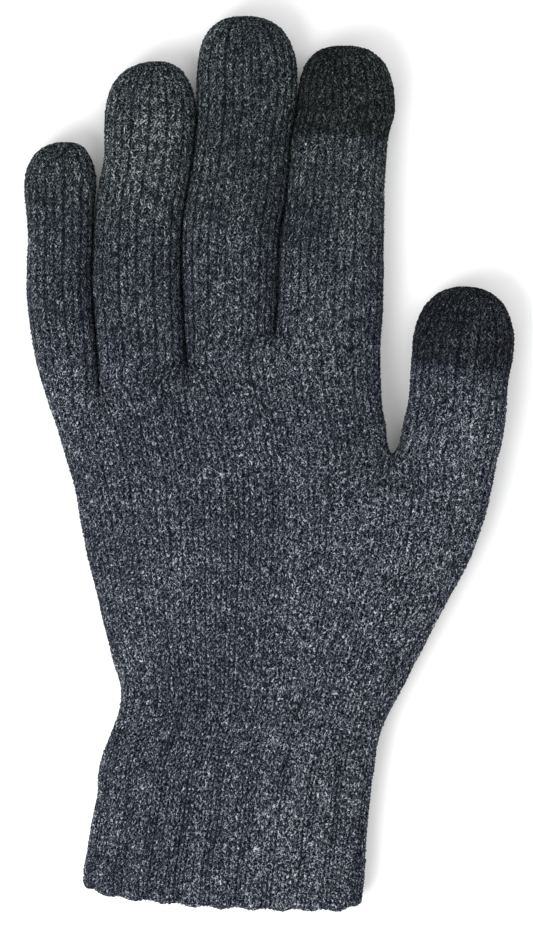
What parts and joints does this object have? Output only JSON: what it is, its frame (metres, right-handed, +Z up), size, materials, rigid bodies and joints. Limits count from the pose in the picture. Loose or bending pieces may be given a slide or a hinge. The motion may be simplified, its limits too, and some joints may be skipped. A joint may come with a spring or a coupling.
{
  "type": "touchscreen glove",
  "caption": "Knitted glove with ribbed cuff, brushed lining and darker conductive fingertips on the index finger and thumb; every finger, the thumb and the cuff bend.",
  "frame": {"origin": "centre of the glove's outline, on the surface that it lies on", "axes": "+Y towards the fingertips, +X towards the thumb, +Z up out of the palm face"},
  "size_m": [0.1305, 0.2393, 0.019],
  "materials": {
    "marled_knit": "soft marled knit in dark charcoal with light grey flecks",
    "ribbed_knit": "two by two rib knit in the same yarn",
    "conductive_knit": "fine darker knit with conductive fibre",
    "brushed_lining": "brushed soft inner face",
    "elastic_thread": "matt covered elastic thread"
  },
  "bodies": {
    "hand": {"lower_palm": "marled_knit", "upper_palm": "marled_knit", "lower_palm_lining": "brushed_lining", "upper_palm_lining": "brushed_lining", "wrist_fold": "marled_knit", "index_root_fold": "marled_knit", "middle_root_fold": "marled_knit", "ring_root_fold": "marled_knit", "little_root_fold": "marled_knit", "thumb_root_fold": "marled_knit"},
    "cuff": {"rib_cuff": "ribbed_knit", "cuff_welt": "ribbed_knit", "cuff_elastic": "elastic_thread"},
    "index_lower": {"index_lower_tube": "marled_knit", "index_lower_lining": "brushed_lining", "index_knuckle_fold": "marled_knit"},
    "index_upper": {"index_upper_tube": "marled_knit", "index_touch_tip": "conductive_knit", "index_upper_lining": "brushed_lining"},
    "middle_lower": {"middle_lower_tube": "marled_knit", "middle_lower_lining": "brushed_lining", "middle_knuckle_fold": "marled_knit"},
    "middle_upper": {"middle_upper_tube": "marled_knit", "middle_upper_lining": "brushed_lining"},
    "ring_lower": {"ring_lower_tube": "marled_knit", "ring_lower_lining": "brushed_lining", "ring_knuckle_fold": "marled_knit"},
    "ring_upper": {"ring_upper_tube": "marled_knit", "ring_upper_lining": "brushed_lining"},
    "little_lower": {"little_lower_tube": "marled_knit", "little_lower_lining": "brushed_lining", "little_knuckle_fold": "marled_knit"},
    "little_upper": {"little_upper_tube": "marled_knit", "little_upper_lining": "brushed_lining"},
    "thumb_lower": {"thumb_lower_tube": "marled_knit", "thumb_lower_lining": "brushed_lining", "thumb_knuckle_fold": "marled_knit"},
    "thumb_upper": {"thumb_touch_tip": "conductive_knit", "thumb_upper_lining": "brushed_lining"}
  },
  "joints": [
    {"name": "index_root_hinge", "type": "hinge", "parent": "hand", "child": "index_lower", "pos_m": [0.0161, 0.0425, 0.0075], "axis": [1, 0, 0], "range_deg": [0, 80], "deforming": ["index_root_fold"]},
    {"name": "index_knuckle_hinge", "type": "hinge", "parent": "index_lower", "child": "index_upper", "pos_m": [0.01736, 0.064, 0.00718], "axis": [1, 0, 0], "range_deg": [0, 90], "deforming": ["index_knuckle_fold"]},
    {"name": "middle_root_hinge", "type": "hinge", "parent": "hand", "child": "middle_lower", "pos_m": [-0.0107, 0.035, 0.0075], "axis": [1, 0, 0], "range_deg": [0, 80], "deforming": ["middle_root_fold"]},
    {"name": "middle_knuckle_hinge", "type": "hinge", "parent": "middle_lower", "child": "middle_upper", "pos_m": [-0.0099, 0.066, 0.0072], "axis": [1, 0, 0], "range_deg": [0, 90], "deforming": ["middle_knuckle_fold"]},
    {"name": "ring_root_hinge", "type": "hinge", "parent": "hand", "child": "ring_lower", "pos_m": [-0.0346, 0.028, 0.0075], "axis": [1, 0, 0], "range_deg": [0, 80], "deforming": ["ring_root_fold"]},
    {"name": "ring_knuckle_hinge", "type": "hinge", "parent": "ring_lower", "child": "ring_upper", "pos_m": [-0.0353, 0.058, 0.0072], "axis": [1, 0, 0], "range_deg": [0, 90], "deforming": ["ring_knuckle_fold"]},
    {"name": "little_root_hinge", "type": "hinge", "parent": "hand", "child": "little_lower", "pos_m": [-0.0537, 0.0215, 0.0068], "axis": [1, 0, 0], "range_deg": [0, 80], "deforming": ["little_root_fold"]},
    {"name": "little_knuckle_hinge", "type": "hinge", "parent": "little_lower", "child": "little_upper", "pos_m": [-0.0562, 0.045, 0.0066], "axis": [1, 0, 0], "range_deg": [0, 90], "deforming": ["little_knuckle_fold"]},
    {"name": "thumb_root_hinge", "type": "hinge", "parent": "hand", "child": "thumb_lower", "pos_m": [0.0483, 0.004, 0.008], "axis": [0.9903, -0.1392, 0], "range_deg": [0, 50], "deforming": ["thumb_root_fold"]},
    {"name": "thumb_knuckle_hinge", "type": "hinge", "parent": "thumb_lower", "child": "thumb_upper", "pos_m": [0.05056, 0.0175, 0.00799], "axis": [0.9903, -0.1392, 0], "range_deg": [0, 70], "deforming": ["thumb_knuckle_fold"]},
    {"name": "wrist_hinge", "type": "hinge", "parent": "hand", "child": "cuff", "pos_m": [-0.0042, -0.0666, 0.00825], "axis": [-0.9925, 0.1219, 0], "range_deg": [0, 60], "deforming": ["wrist_fold"]}
  ]
}
